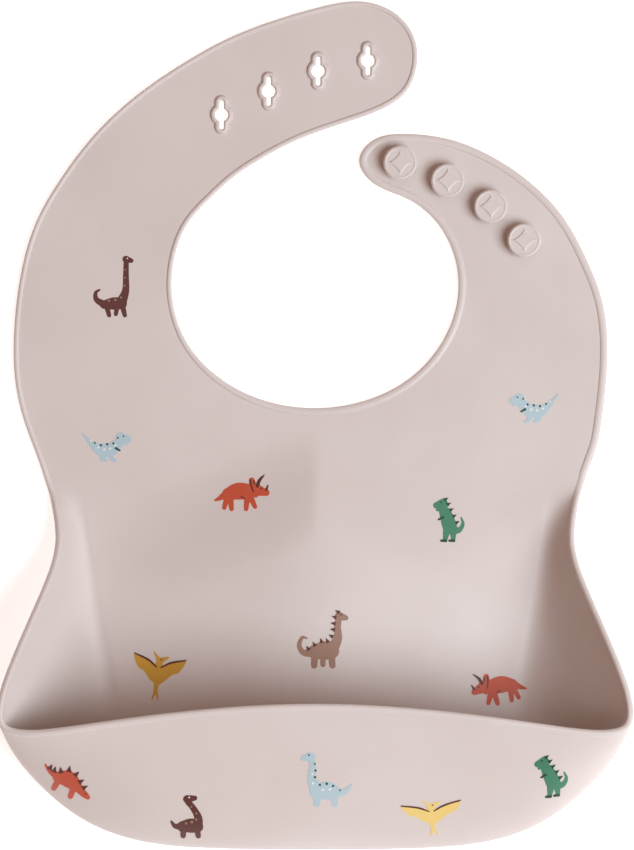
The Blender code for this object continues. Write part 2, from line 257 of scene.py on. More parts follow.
def ridge_normal(x, y):
    step = 0.05
    along_x = (ridge(x + step, y) - ridge(x - step, y)) / (2 * step)
    along_y = (ridge(x, y + step) - ridge(x, y - step)) / (2 * step)
    return Vector((-along_x, -along_y, 1)).normalized()


# ---------------------------------------------------------------------- materials


def noise(tree, coordinates, scale, detail=4.0):
    made = tree.nodes.new("ShaderNodeTexNoise")
    made.inputs["Scale"].default_value = scale
    made.inputs["Detail"].default_value = detail
    tree.links.new(coordinates, made.inputs["Vector"])
    return made.outputs["Fac"]


def ranged(tree, value, low, high):
    """A noise's usual span, 0.3 to 0.7, spread from low to high."""
    made = tree.nodes.new("ShaderNodeMapRange")
    made.inputs["From Min"].default_value = 0.3
    made.inputs["From Max"].default_value = 0.7
    made.inputs["To Min"].default_value = low
    made.inputs["To Max"].default_value = high
    tree.links.new(value, made.inputs["Value"])
    return made.outputs["Result"]


def mixed(tree, factor, low, high):
    made = tree.nodes.new("ShaderNodeMix")
    made.data_type = "RGBA"
    made.inputs["A"].default_value = (*low, 1)
    made.inputs["B"].default_value = (*high, 1)
    tree.links.new(factor, made.inputs["Factor"])
    return made.outputs["Result"]


def linear(color):
    return tuple((c / 255) ** PICTURE_GAMMA for c in color)


def bumped(tree, height, strength, distance, under=None):
    """A bump node over another's normal."""
    made = tree.nodes.new("ShaderNodeBump")
    made.inputs["Strength"].default_value = strength
    made.inputs["Distance"].default_value = distance
    tree.links.new(height, made.inputs["Height"])
    if under is not None:
        tree.links.new(under, made.inputs["Normal"])
    return made.outputs["Normal"]


def soft_material(name, dark, light, roughness, grain, sheen=0.0):
    """A moulded, slightly uneven surface: slow mottling, handled patches, faint waves, fine grain and pits."""
    made = bpy.data.materials.new(name)
    made.use_nodes = True
    tree = made.node_tree
    shader = tree.nodes["Principled BSDF"]
    place = tree.nodes.new("ShaderNodeTexCoord").outputs["Object"]
    mottle = noise(tree, place, 22.0)
    specks = noise(tree, place, 900.0, 2.0)
    fine = noise(tree, place, 2600.0, 3.0)
    color = mixed(tree, ranged(tree, mottle, 0, 1), linear(dark), linear(light))
    tree.links.new(color, shader.inputs["Base Color"])
    handled = ranged(tree, noise(tree, place, 60.0), roughness - 0.06, roughness + 0.07)
    tree.links.new(handled, shader.inputs["Roughness"])
    waves = bumped(tree, noise(tree, place, 45.0, 2.0), 0.25, 0.0006)
    grit = bumped(tree, fine, grain, 0.00008, waves)
    pits = bumped(tree, specks, grain * 0.6, 0.00015, grit)
    tree.links.new(pits, shader.inputs["Normal"])
    shader.inputs["Specular IOR Level"].default_value = 0.4
    if sheen:
        shader.inputs["Sheen Weight"].default_value = sheen
        shader.inputs["Sheen Roughness"].default_value = 0.5
    return made


SILICONE = soft_material("silicone", (208, 195, 188), (214, 202, 195), 0.52, 0.3, sheen=0.12)
# Smoother silicone for the beads, buttonhole rings and studs: its lower roughness and finer grain are real,
# and its slightly lighter colour is a painted highlight on these raised parts.
SILICONE_SMOOTH_PAINTED_HIGHLIGHT = soft_material(
    "silicone_polished_painted_highlight", (210, 198, 191), (216, 205, 198), 0.42, 0.18, sheen=0.12
)
INKS = {
    "dark_brown": soft_material("ink_dark_brown", (86, 44, 38), (98, 54, 46), 0.5, 0.2),
    "light_brown": soft_material("ink_light_brown", (146, 112, 94), (156, 122, 103), 0.5, 0.2),
    "orange_red": soft_material("ink_orange_red", (186, 76, 52), (200, 88, 62), 0.5, 0.2),
    "green": soft_material("ink_green", (62, 118, 90), (74, 132, 102), 0.5, 0.2),
    "dark_green": soft_material("ink_dark_green", (30, 62, 50), (38, 72, 58), 0.5, 0.2),
    "light_blue": soft_material("ink_light_blue", (168, 190, 196), (180, 200, 205), 0.5, 0.2),
    "yellow": soft_material("ink_yellow", (226, 192, 106), (234, 204, 124), 0.5, 0.2),
    "mustard": soft_material("ink_mustard", (194, 142, 52), (206, 156, 64), 0.5, 0.2),
    "white": soft_material("ink_white", (232, 228, 222), (240, 236, 230), 0.5, 0.2),
}


# ---------------------------------------------------------------------- mesh helpers


def new_object(name, verts, faces, look, slot):
    mesh = bpy.data.meshes.new(name)
    mesh.from_pydata([tuple(Vector(v) * MM) for v in verts], [], faces)
    mesh.validate()
    obj = bpy.data.objects.new(name, mesh)
    bpy.context.scene.collection.objects.link(obj)
    mesh.materials.append(look)
    return obj


def soften(obj, degrees=SHEET_SHARP):
    obj.data.shade_smooth()
    obj.data.set_sharp_from_angle(angle=math.radians(degrees))
    return obj


def turn_outwards(obj):
    build = bmesh.new()
    build.from_mesh(obj.data)
    bmesh.ops.recalc_face_normals(build, faces=build.faces)
    build.to_mesh(obj.data)
    build.free()
    return obj


def thicken(verts, faces, normals, below, above):
    """A closed plate round a surface, whose faces run anticlockwise seen from the side normals point to."""
    count = len(verts)
    low = [Vector(v) - n * below for v, n in zip(verts, normals)]
    high = [Vector(v) + n * above for v, n in zip(verts, normals)]
    made = [tuple(reversed(face)) for face in faces]
    made += [tuple(i + count for i in face) for face in faces]
    edges = {}
    for face in faces:
        for a, b in zip(face, face[1:] + face[:1]):
            edges[a, b] = True
    for a, b in edges:
        if (b, a) not in edges:
            made.append((a, b, b + count, a + count))
    return low + high, made


def surface_normals(verts, faces):
    found = [Vector() for _ in verts]
    for face in faces:
        a, b, c = (Vector(verts[i]) for i in face[:3])
        normal = (b - a).cross(c - a)
        if len(face) == 4:
            normal += (c - a).cross(Vector(verts[face[3]]) - a)
        for i in face:
            found[i] += normal
    return [n.normalized() for n in found]


def tube(name, path, sides, ups, halves):
    """A closed bead along a path: its section is a squared oval, wide along sides and high along ups."""
    verts, faces = [], []
    power = 2 / BEAD_SQUARENESS
    for middle, side, up, (wide, high) in zip(path, sides, ups, halves):
        for i in range(BEAD_SIDES):
            turn = 2 * math.pi * i / BEAD_SIDES
            c, s = math.cos(turn), math.sin(turn)
            across = math.copysign(abs(c) ** power, c) * wide
            height = math.copysign(abs(s) ** power, s) * high
            verts.append(Vector(middle) + Vector(side) * across + Vector(up) * height)
    for j in range(len(path) - 1):
        for i in range(BEAD_SIDES):
            a, b = j * BEAD_SIDES + i, j * BEAD_SIDES + (i + 1) % BEAD_SIDES
            faces.append((a, b, b + BEAD_SIDES, a + BEAD_SIDES))
    last = len(path) - 1
    faces.append(tuple(range(BEAD_SIDES)))
    faces.append(tuple(last * BEAD_SIDES + i for i in range(BEAD_SIDES)))
    return soften(turn_outwards(new_object(name, verts, faces, SILICONE_SMOOTH_PAINTED_HIGHLIGHT, "sheet")), SHARP_BEND)


def carry(obj, zone):
    """Bakes obj's transform into its mesh; every zone gets the same."""
    if zone == "lower":
        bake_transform(obj)
    elif zone == "chest":
        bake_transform(obj)
    elif zone in ("long_strap", "short_strap"):
        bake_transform(obj)
    else:
        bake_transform(obj)
    return obj


# ---------------------------------------------------------------------- the pocket and the tummy panel


def station_net():
    """Control points across the sheet, at places from the seam round the pocket and back to it."""
    half = [
        np.array([(*panel, ridge(*panel)), foot, swell, rim], float)
        for panel, foot, swell, rim in STATIONS
    ]
    mirror = np.array([-1.0, 1.0, 1.0])
    controls = np.array(half + [control * mirror for control in reversed(half[:-1])])
    steps = np.linalg.norm(np.diff(controls, axis=0), axis=2).mean(axis=1)
    knots = np.concatenate([[0], np.cumsum(steps)])
    first = knots[FIRST_STATION]
    corner, far_corner = knots[CORNER_STATION], knots[-1 - CORNER_STATION]
    side = np.linspace(first, corner, SIDE_ROWS + 1)
    bottom = np.linspace(corner, far_corner, BOTTOM_COLUMNS + 1)
    places = np.concatenate([side[:-1], bottom, knots[-1] - side[:-1][::-1]])
    net = spline(knots, controls.reshape(len(controls), -1), places).reshape(-1, 4, 3)
    net[:, 0, 2] = [ridge(x, y) for x, y in net[:, 0, :2]]
    flat_start = [smoothstep((SEAM_Y - y) / LEVEL_RUN) for y in net[:, 0, 1]]
    net[:, 1:, 2] *= np.array(flat_start)[:, None]
    return net


def lower_grids(net):
    reach = 1 - EDGE_INSET / (3 * np.linalg.norm(net[:, 3] - net[:, 2], axis=1))
    t = (reach[:, None] * np.linspace(0, 1, WALL_STEPS + 1)[None, :])[..., None]
    weights = np.concatenate([(1 - t) ** 3, 3 * t * (1 - t) ** 2, 3 * t**2 * (1 - t), t**3], axis=2)
    wall = np.einsum("utk,ukc->utc", weights, net)
    edge = wall[:, 0]
    left = edge[: SIDE_ROWS + 1]
    right = edge[::-1][: SIDE_ROWS + 1]
    low = edge[SIDE_ROWS : SIDE_ROWS + BOTTOM_COLUMNS + 1]
    down = np.linspace(0, 1, SIDE_ROWS + 1)[:, None, None]
    over = np.linspace(0, 1, BOTTOM_COLUMNS + 1)[None, :, None]
    panel = (
        down * low[None] + (1 - over) * left[:, None] + over * right[:, None]
        - down * ((1 - over) * low[0] + over * low[-1])
    )
    for row in panel[:-1, 1:-1]:
        for point in row:
            point[2] = ridge(point[0], point[1])
    return panel, wall


def grid_surface(grids):
    """One list of points and faces from grids that share an edge. Faces look into the pocket."""
    verts, faces, known = [], [], {}

    def index(point):
        key = tuple(round(float(c), 4) for c in point)
        if key not in known:
            known[key] = len(verts)
            verts.append(tuple(float(c) for c in point))
        return known[key]

    for grid, flip in grids:
        rows = [[index(point) for point in row] for row in grid]
        for above, below in zip(rows, rows[1:]):
            for a, b, c, d in zip(above, above[1:], below[1:], below):
                faces.append((a, b, c, d) if flip else (d, c, b, a))
    return verts, faces


def lower_skin(net):
    panel, wall = lower_grids(net)
    verts, faces = grid_surface(((panel, False), (wall, True)))
    normals = surface_normals(verts, faces)
    middle = min(range(len(verts)), key=lambda i: math.hypot(verts[i][0], verts[i][1] - PANEL_MIDDLE_Y))
    if normals[middle].z < 0:
        faces = [tuple(reversed(face)) for face in faces]
        normals = [-n for n in normals]
    for i, (x, y, _) in enumerate(verts):
        if abs(y - SEAM_Y) < 0.01:
            normals[i] = ridge_normal(x, y)
    verts, faces = thicken(verts, faces, normals, 0, SHEET)
    obj = soften(new_object("skin_lower", verts, faces, SILICONE, "sheet"))
    nodes = ("tummy_panel", "pocket_trough", "pocket_front", "gusset_left", "gusset_right")
    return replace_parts(obj, *nodes)


def bead_half_width(x, zone):
    """The bead is thin along the long strap and its side of the bib, and broad on the other side."""
    thin, broad = BEAD_HALF_WIDTH
    start, end = BEAD_WIDENS_X
    share = 0.0 if zone.startswith("long_strap") else smoothstep((x - start) / (end - start))
    return thin + (broad - thin) * share


def pocket_bead(net):
    """The bead down each side of the waist, which turns into the lip round the pocket's rim."""
    rim = net[:, 3]
    along = np.gradient(rim, axis=0)
    along /= np.linalg.norm(along, axis=1)[:, None]
    inward = net[:, 2] - rim
    inward -= along * (inward * along).sum(axis=1)[:, None]
    inward /= np.linalg.norm(inward, axis=1)[:, None]
    ups = np.cross(along, inward)
    path, halves = [], []
    high, low = BEAD_TO_LIP_Y
    for point, side, up in zip(rim, inward, ups):
        share = smoothstep((high - point[1]) / (high - low))
        half = bead_half_width(point[0], "lower")
        bead = (half, half, BEAD_HALF_HEIGHT)
        inset, wide, tall = (size + (lip - size) * share for size, lip in zip(bead, LIP))
        lift = tall + (SHEET / 2 - tall) * share
        path.append(point + side * inset + up * lift)
        halves.append((wide, tall))
    return tube("bead_pocket_rim", path, inward, ups, halves)


# ---------------------------------------------------------------------- the flat part


def outline_path(step):
    """Points a step apart along the flat part's edge, from below the left seam to below the right one."""
    right_end = tuple((-x, y) for x, y in reversed(WAIST))
    points = np.array(WAIST + OUTLINE + right_end, float)
    knots = np.concatenate([[0], np.cumsum(np.linalg.norm(np.diff(points, axis=0), axis=1))])
    overrun = 3
    places = np.arange(knots[1] - overrun, knots[-2] + overrun, step)
    path = spline(knots, points, places)
    along = np.gradient(path, axis=0)
    along /= np.linalg.norm(along, axis=1)[:, None]
    return path, np.column_stack([along[:, 1], -along[:, 0]])


def past_tip_seam(x, y):
    out = (x - TIP_AXIS[0]) * TIP_OUT[0] + (y - TIP_AXIS[1]) * TIP_OUT[1]
    return out > -TIP_SEAM_BACK


def zone_of(x, y):
    if y < SEAM_Y:
        return "below"
    if y < SHOULDER_SEAM_Y:
        return "chest"
    if x < STRAPS_APART_X or y > SHORT_STRAP_END_Y:
        return "long_strap_tip" if past_tip_seam(x, y) else "long_strap"
    return "short_strap"


def keyhole_outline(grow):
    """A round hole with a slit through it along Y, every side moved out by grow."""
    radius = HOLE_RADIUS + grow
    half = SLIT_HALF_WIDTH + grow
    reach = SLIT_HALF_LENGTH + grow
    turn = math.asin(half / radius)
    points = []
    for start in (0, math.pi):
        for i in range(13):
            angle = start - math.pi / 2 + turn + (math.pi - 2 * turn) * i / 12
            points.append((radius * math.cos(angle), radius * math.sin(angle)))
        for i in range(9):
            angle = start + math.pi * i / 8
            end_y = (reach - half) * math.cos(start)
            points.append((half * math.cos(angle), end_y + half * math.sin(angle)))
    return points


def inside(points, loop):
    """Which points lie inside a closed loop."""
    points, loop = np.asarray(points, float), np.asarray(loop, float)
    x, y = points[:, 0], points[:, 1]
    found = np.zeros(len(points), bool)
    for (ax, ay), (bx, by) in zip(loop, np.roll(loop, -1, axis=0)):
        crosses = (ay > y) != (by > y)
        if ay != by:
            found ^= crosses & (x < (bx - ax) * (y - ay) / (by - ay) + ax)
    return found


def hex_points(low, high, cell):
    rows = np.arange(low[1], high[1], cell * math.sqrt(3) / 2)
    found = []
    for i, y in enumerate(rows):
        shift = cell / 2 if i % 2 else 0.0
        found += [(x + shift, y) for x in np.arange(low[0], high[0], cell)]
    return np.array(found)


def far_from(points, others, distance):
    keep = []
    for point in points:
        gaps = np.abs(others - point).max(axis=1)
        keep.append(gaps.min() > distance)
    return points[np.array(keep)]


def seam_line(start, end):
    start, end = np.array(start, float), np.array(end, float)
    count = max(2, int(np.linalg.norm(end - start) / SEAM_STEP))
    return [tuple(start + (end - start) * i / count) for i in range(count + 1)]


def flat_skins():
    """The chest and the straps, as one triangulated sheet that is parted at the seams."""
    path, inward = outline_path(EDGE_STEP)
    loop = [tuple(p) for p in path + inward * EDGE_INSET]
    holes = [[(x + px, y + py) for x, y in keyhole_outline(HOLE_IN_SKIN)] for px, py in BUTTONHOLES]
    out, back = np.array(TIP_OUT), np.array((TIP_OUT[1], -TIP_OUT[0]))
    tip = np.array(TIP_AXIS) - out * TIP_SEAM_BACK
    seams = [
        seam_line(*((x, SEAM_Y) for x in SEAM_CUT_X)),
        seam_line(*((x, SHOULDER_SEAM_Y) for x in LEFT_SHOULDER_CUT_X)),
        seam_line(*((x, SHOULDER_SEAM_Y) for x in RIGHT_SHOULDER_CUT_X)),
        seam_line(tip - back * TIP_CUT_REACH[0], tip + back * TIP_CUT_REACH[1]),
    ]
    verts, edges = [], []
    chains = [(loop, True), *((hole, True) for hole in holes), *((seam, False) for seam in seams)]
    for chain, closed in chains:
        first = len(verts)
        verts += chain
        edges += [(i, i + 1) for i in range(first, len(verts) - 1)]
        if closed:
            edges.append((len(verts) - 1, first))
    fixed = np.array(verts)
    inner = hex_points(*FIELD, CELL)
    inner = inner[inside(inner, loop)]
    inner = far_from(inner, fixed, CELL * CLEAR_OF_EDGE)
    verts += [tuple(p) for p in inner]
    points, _, faces = delaunay_2d_cdt([Vector(v) for v in verts], edges, [], 0, 1e-4, False)[:3]
    middles = np.array([sum((points[i] for i in face), Vector((0, 0))) / 3 for face in faces])
    kept = inside(middles, loop)
    for hole in holes:
        kept &= ~inside(middles, hole)
    groups = {}
    for face, middle, keep in zip(faces, middles, kept):
        if keep and zone_of(*middle) != "below":
            groups.setdefault(zone_of(*middle), []).append(face)
    nodes = {
        "chest": "chest_panel", "long_strap": "buttonhole_strap",
        "long_strap_tip": "buttonhole_strap_tip", "short_strap": "button_strap",
    }
    made = {}
    for zone, members in groups.items():
        used = sorted({i for face in members for i in face})
        place = {old: new for new, old in enumerate(used)}
        surface = [(points[i].x, points[i].y, ridge(*points[i])) for i in used]
        triangles = []
        for a, b, c in members:
            turns = (points[b] - points[a]).cross(points[c] - points[a]) > 0
            triangles.append((place[a], place[b], place[c]) if turns else (place[a], place[c], place[b]))
        normals = [ridge_normal(x, y) for x, y, _ in surface]
        solid = thicken(surface, triangles, normals, 0, SHEET)
        obj = soften(new_object(f"skin_{zone}", *solid, SILICONE, "sheet"))
        made[zone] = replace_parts(obj, nodes[zone])
    return made


def flat_beads():
    """The raised bead along the edge, in one length for each stretch of each skin."""
    path, inward = outline_path(BEAD_STEP)
    zones = [zone_of(*p) for p in path]
    first, made = 0, []
    for i in range(1, len(path) + 1):
        if i < len(path) and zones[i] == zones[first]:
            continue
        if zones[first] != "below":
            last = min(i, len(path) - 1)
            picks = list(range(first, last, BEAD_STRIDE)) + [last]
            widths = [bead_half_width(path[k][0], zones[first]) for k in picks]
            middles = [(*(path[k] + inward[k] * wide), BEAD_HALF_HEIGHT) for k, wide in zip(picks, widths)]
            sides = [(*inward[k], 0) for k in picks]
            name = f"bead_{zones[first]}_{len(made) + 1}"
            halves = [(wide, BEAD_HALF_HEIGHT) for wide in widths]
            obj = tube(name, middles, sides, [(0, 0, 1)] * len(picks), halves)
            made.append((obj, zones[first]))
        first = i
    return made


# ---------------------------------------------------------------------- buttonholes and studs


def buttonhole_ring(name, place):
    loops = [keyhole_outline(grow) for grow, _ in RING_SECTION]
    count = len(loops[0])
    verts = [
        (x + place[0], y + place[1], height)
        for loop, (_, height) in zip(loops, RING_SECTION) for x, y in loop
    ]
    faces = []
    for j in range(len(loops)):
        k = (j + 1) % len(loops)
        for i in range(count):
            n = (i + 1) % count
            faces.append((j * count + i, j * count + n, k * count + n, k * count + i))
    return soften(turn_outwards(new_object(name, verts, faces, SILICONE_SMOOTH_PAINTED_HIGHLIGHT, "ring")), SHARP_BEND)


def star_relief(radius, angle):
    """Height of the soft four-pointed relief at a place on a stud's head."""
    corners = abs(math.cos(angle)) ** STAR_HOLLOW + abs(math.sin(angle)) ** STAR_HOLLOW
    edge = STAR_RADIUS / corners ** (1 / STAR_HOLLOW)
    return STAR_HEIGHT * smoothstep((edge - radius) / STAR_EDGE + 0.5)


def head_lip(radius):
    """Height of the low rim round the top of a stud's head."""
    start, height, run = HEAD_LIP
    return height * smoothstep((radius - start) / run)


def stud(name, place):
    profile = [(r, HEAD_TOP) for r in np.linspace(HEAD_CENTRE, HEAD_RADIUS - HEAD_EDGE, HEAD_RINGS)]
    middle_r = HEAD_RADIUS - HEAD_EDGE
    for i in range(1, 9):
        angle = math.radians(90 - 90 * i / 8)
        rise = (HEAD_EDGE + HEAD_LIP[1]) * math.sin(angle)
        profile.append((middle_r + HEAD_EDGE * math.cos(angle), HEAD_TOP - HEAD_EDGE + rise))
    for i in range(9):
        angle = math.radians(-90 * i / 8)
        rise = HEAD_EDGE * math.sin(angle)
        profile.append((middle_r + HEAD_EDGE * math.cos(angle), HEAD_BOTTOM + HEAD_EDGE + rise))
    profile += STEM
    verts, faces = [], []
    for j, (radius, height) in enumerate(profile):
        for i in range(STUD_SIDES):
            angle = 2 * math.pi * i / STUD_SIDES
            lift = star_relief(radius, angle) + head_lip(radius) if j < HEAD_RINGS else 0.0
            x, y = radius * math.cos(angle), radius * math.sin(angle)
            verts.append((x + place[0], y + place[1], height + lift))
    for j in range(len(profile) - 1):
        for i in range(STUD_SIDES):
            n = (i + 1) % STUD_SIDES
            top, low = j * STUD_SIDES, (j + 1) * STUD_SIDES
            faces.append((top + i, low + i, low + n, top + n))
    last = (len(profile) - 1) * STUD_SIDES
    faces.append(tuple(range(STUD_SIDES)))
    faces.append(tuple(last + i for i in range(STUD_SIDES)))
    return soften(turn_outwards(new_object(name, verts, faces, SILICONE_SMOOTH_PAINTED_HIGHLIGHT, "stud")), SHARP_BEND)


# ---------------------------------------------------------------------- the printed figures


def smooth_line(points, steps=5):
    """A Catmull-Rom curve through rows of numbers."""
    points = [np.array(p, float) for p in points]
    points = [2 * points[0] - points[1], *points, 2 * points[-1] - points[-2]]
    found = []
    for a, b, c, d in zip(points, points[1:], points[2:], points[3:]):
        for i in range(steps):
            t = i / steps
            square, cube = 2 * a - 5 * b + 4 * c - d, 3 * b - a - 3 * c + d
            found.append(0.5 * (2 * b + (c - a) * t + square * t**2 + cube * t**3))
    return found + [points[-2]]


def dot(x, y, radius):
    angles = [2 * math.pi * i / DOT_SIDES for i in range(DOT_SIDES)]
    return [[(x + radius * math.cos(angle), y + radius * math.sin(angle)) for angle in angles]]


def limb(*points):
    """A tapering limb through (x, y, width) rows, as overlapping rounds and the bars between them."""
    line = smooth_line(points)
    shapes = []
    for x, y, width in line:
        shapes += dot(x, y, max(width, THINNEST_LIMB) / 2)
    for a, b in zip(line, line[1:]):
        along = b[:2] - a[:2]
        side = np.array((-along[1], along[0])) / (np.linalg.norm(along) or 1)
        wa, wb = side * max(a[2], THINNEST_LIMB) / 2, side * max(b[2], THINNEST_LIMB) / 2
        shapes.append([tuple(a[:2] - wa), tuple(b[:2] - wb), tuple(b[:2] + wb), tuple(a[:2] + wa)])
    return shapes


def spikes(points, height, width):
    """Small triangles on a line of (x, y), standing off to its left."""
    shapes = []
    line = [np.array(p, float) for p in points]
    for i, point in enumerate(line):
        along = line[min(i + 1, len(line) - 1)] - line[max(i - 1, 0)]
        along = along / np.linalg.norm(along)
        side = np.array((-along[1], along[0]))
        foot, tip = along * width / 2, point + side * height
        root = point - side * SPIKE_ROOT
        shapes.append([tuple(root - foot), tuple(root + foot), tuple(tip)])
    return shapes


def patch(points):
    """A smooth closed shape through the points."""
    closed = [*points, points[0]]
    return [[tuple(p) for p in smooth_line(closed, 4)[:-1]]]


def dots(*places):
    return [shape for place in places for shape in dot(*place)]


def standing_long_neck():
    main = (
        limb((-3.4, -6.6, 3.0), (0, -6.2, 4.4), (2.8, -6.2, 4.0))
        + limb((2.8, -5.6, 3.8), (4.3, -1.6, 2.5), (4.4, 4, 2.0), (4.5, 8.6, 1.8))
        + limb((4.4, 9.6, 2.5), (6.3, 9.1, 1.6))
        + limb((-3.6, -6.4, 2.6), (-6.1, -4.8, 1.9), (-6.4, -2.4, 1.2), (-5.0, -1.3, 0.6))
        + limb((-2.4, -7.4, 1.9), (-1.6, -10.4, 1.5)) + limb((3.2, -7.2, 2.0), (4.0, -10.4, 1.5))
        + limb((1.2, -7.6, 1.7), (0.8, -10, 1.4))
    )
    marks = dots(
        (-1.7, -5.2, 0.42), (0.6, -4.9, 0.45), (2.6, -4.0, 0.4), (3.9, 0.2, 0.34),
        (4.0, 3.0, 0.32), (4.1, 5.8, 0.3),
    )
    return {"dark_brown": main, "light_brown": marks, "white": dot(4.9, 9.9, 0.26)}


def leaning_long_neck():
    main = (
        limb((-2.6, -3.8, 4.2), (0.4, -3.4, 5.4), (2.4, -3.8, 4.4))
        + limb((2.4, -3.2, 4.2), (2.9, -0.4, 2.8), (1.4, 3.0, 2.2), (-0.6, 5.6, 2.1))
        + limb((-0.8, 6.6, 2.9), (1.8, 7.0, 1.8))
        + limb((-2.8, -3.6, 3.0), (-5.2, -3.6, 1.8), (-6.6, -1.8, 0.7))
        + limb((-2.4, -5, 2.1), (-2.6, -7.4, 1.9)) + limb((2.5, -5, 2.1), (2.7, -7.4, 1.9))
    )
    marks = dots((-1.4, -2.4, 0.45), (0.6, -1.9, 0.5), (2.2, -1.0, 0.4), (2.3, 1.4, 0.35), (0.6, 3.8, 0.32))
    return {"dark_brown": main, "light_brown": marks, "white": dot(-0.1, 7.3, 0.28)}


def blue_biped():
    main = (
        limb((-8.4, 4.7, 0.6), (-5.4, 1.2, 1.9), (-1.6, -1.2, 4.6), (2.0, -0.7, 4.6), (4.8, 2.0, 3.2))
        + limb((5.2, 3.2, 3.9), (7.8, 2.6, 2.4))
        + limb((5.2, 1.7, 1.8), (7.4, 1.0, 0.9))
        + limb((-0.8, -2.4, 2.5), (-1.6, -4.1, 1.6), (-0.2, -4.9, 1.1))
        + limb((1.6, -2.0, 2.3), (1.8, -4.1, 1.5), (3.1, -4.9, 1.1))
    )
    dark = (
        limb((3.3, -0.5, 0.9), (4.7, -1.3, 0.6))
        + dots((-4.2, 1.4, 0.35), (-2.0, 0.6, 0.42), (0.2, 0.9, 0.42))
        + dots((2.4, 1.2, 0.4), (4.0, 3.2, 0.34), (6.0, 3.8, 0.3))
    )
    pale = dots((-3.0, -0.2, 0.38), (-0.9, -0.9, 0.42), (1.2, -0.6, 0.42), (3.1, 0.6, 0.38), (-5.6, 2.2, 0.3))
    return {"light_blue": main, "dark_green": dark, "white": pale}


def three_horned():
    main = (
        limb((-5.2, -0.2, 4.2), (-1.6, 0.7, 6.0), (2.4, 0.6, 5.2))
        + limb((-5.4, 0.0, 3.2), (-8.2, -1.8, 1.6), (-10.0, -2.6, 0.5))
        + limb((4.6, 1.2, 4.4), (8.4, 0.2, 2.3)) + limb((3.2, 4.6, 2.0), (3.9, 1.6, 3.0), (4.6, -0.8, 1.6))
        + limb((-4.4, -1.6, 2.2), (-4.0, -5.6, 1.6)) + limb((-5.6, -1.4, 2.0), (-6.6, -5.2, 1.5))
        + limb((1.6, -1.6, 2.2), (1.2, -5.6, 1.6)) + limb((2.8, -1.4, 2.2), (4.4, -4.8, 1.5))
    )
    dark = (
        limb((5.2, 2.6, 1.3), (6.0, 4.6, 1.0), (7.6, 6.4, 0.4)) + limb((8.4, 1.2, 0.9), (9.0, 2.8, 0.35))
        + limb((2.7, 4.6, 0.6), (3.0, 2.6, 0.6), (3.8, 0.4, 0.4))
        + limb((3.9, 4.4, 0.5), (4.1, 3.2, 0.4)) + limb((-0.6, -1.2, 0.4), (0.6, -1.9, 0.4))
        + dot(6.6, 1.6, 0.33)
    )
    return {"orange_red": main, "dark_brown": dark}


def green_biped():
    main = (
        limb((2.4, 4.6, 3.0), (1.0, 1.4, 4.6), (-0.2, -2.4, 5.2)) + limb((2.2, 5.8, 3.6), (4.6, 5.2, 2.2))
        + limb((2.4, 4.4, 2.0), (4.3, 3.6, 0.9))
        + limb((-0.8, -3.4, 3.4), (-3.4, -3.6, 2.0), (-4.9, -1.4, 1.2), (-4.3, 0.9, 0.5))
        + limb((0.9, -4.0, 2.6), (1.5, -6.9, 1.6)) + limb((-1.4, -4.4, 2.4), (-1.4, -6.9, 1.5))
    )
    dark = (
        spikes([(-2.6, -0.9), (-1.6, 1.4), (-0.5, 3.6), (0.4, 5.6), (1.4, 7.3)], 1.3, 1.5)
        + limb((2.2, 1.0, 0.9), (3.8, 0.2, 0.6))
        + limb((1.3, -7.3, 1.1), (2.9, -7.3, 0.8)) + limb((-1.6, -7.3, 1.1), (0.0, -7.3, 0.8))
        + dot(2.9, 6.3, 0.33)
    )
    return {"green": main, "dark_green": dark}


def spiny_long_neck():
    main = (
        limb((-3.2, -4.2, 4.8), (0.4, -3.8, 6.6), (3.0, -4, 5.4))
        + limb((3.0, -3.4, 4.8), (5.2, 0.4, 3.0), (5.1, 4.6, 2.4), (5.5, 7.6, 2.3))
        + limb((5.7, 8.4, 3.1), (8.0, 7.8, 1.9))
        + limb((-3.4, -4.2, 3.8), (-6.8, -4.6, 2.2), (-8.5, -2.0, 1.6), (-7.4, 0.8, 1.1), (-5.8, 0.6, 0.6))
        + limb((-3.0, -6, 2.5), (-3.2, -9.1, 2.2)) + limb((3.0, -6, 2.5), (3.3, -9.1, 2.2))
        + limb((-0.1, -6.6, 2.0), (-0.1, -8.8, 1.8))
    )
    back = [
        (-5.2, -3.3), (-3.0, -1.9), (-0.6, -0.7), (1.6, -0.6), (3.2, 1.2),
        (3.8, 3.6), (4.0, 5.8), (4.3, 8.0), (5.4, 9.8),
    ]
    dark = spikes(back, 1.5, 1.6)
    return {"light_brown": main, "dark_brown": dark + dot(6.3, 8.9, 0.33)}


def speckled_long_neck():
    main = (
        limb((-3.2, -4.6, 5.2), (0.2, -4.2, 6.6), (3.0, -4.8, 4.8))
        + limb((-3.2, -3.8, 4.8), (-5.0, 0, 3.0), (-4.6, 4.4, 2.4), (-5.2, 7.4, 2.3))
        + limb((-5.4, 8.2, 3.1), (-7.8, 7.6, 2.0)) + limb((3.2, -4.8, 3.6), (6.4, -4.6, 2.0), (8.8, -2.0, 0.7))
        + limb((-3.0, -6.4, 2.5), (-3.2, -9.2, 2.2)) + limb((2.8, -6.4, 2.4), (3.1, -9.2, 2.1))
    )
    dark = dots(
        (-2.2, -2.0, 0.42), (0.2, -1.6, 0.46), (2.4, -2.4, 0.42), (-3.9, 0.8, 0.4),
        (-3.7, 3.2, 0.38), (-4.0, 5.6, 0.34), (4.8, -4.0, 0.34), (-6.0, 8.8, 0.32),
    )
    pale = dots((-1.2, -3.8, 0.45), (1.2, -3.6, 0.45), (-4.6, -1.4, 0.4), (-4.9, 2.0, 0.36))
    return {"light_blue": main, "dark_green": dark, "white": pale}


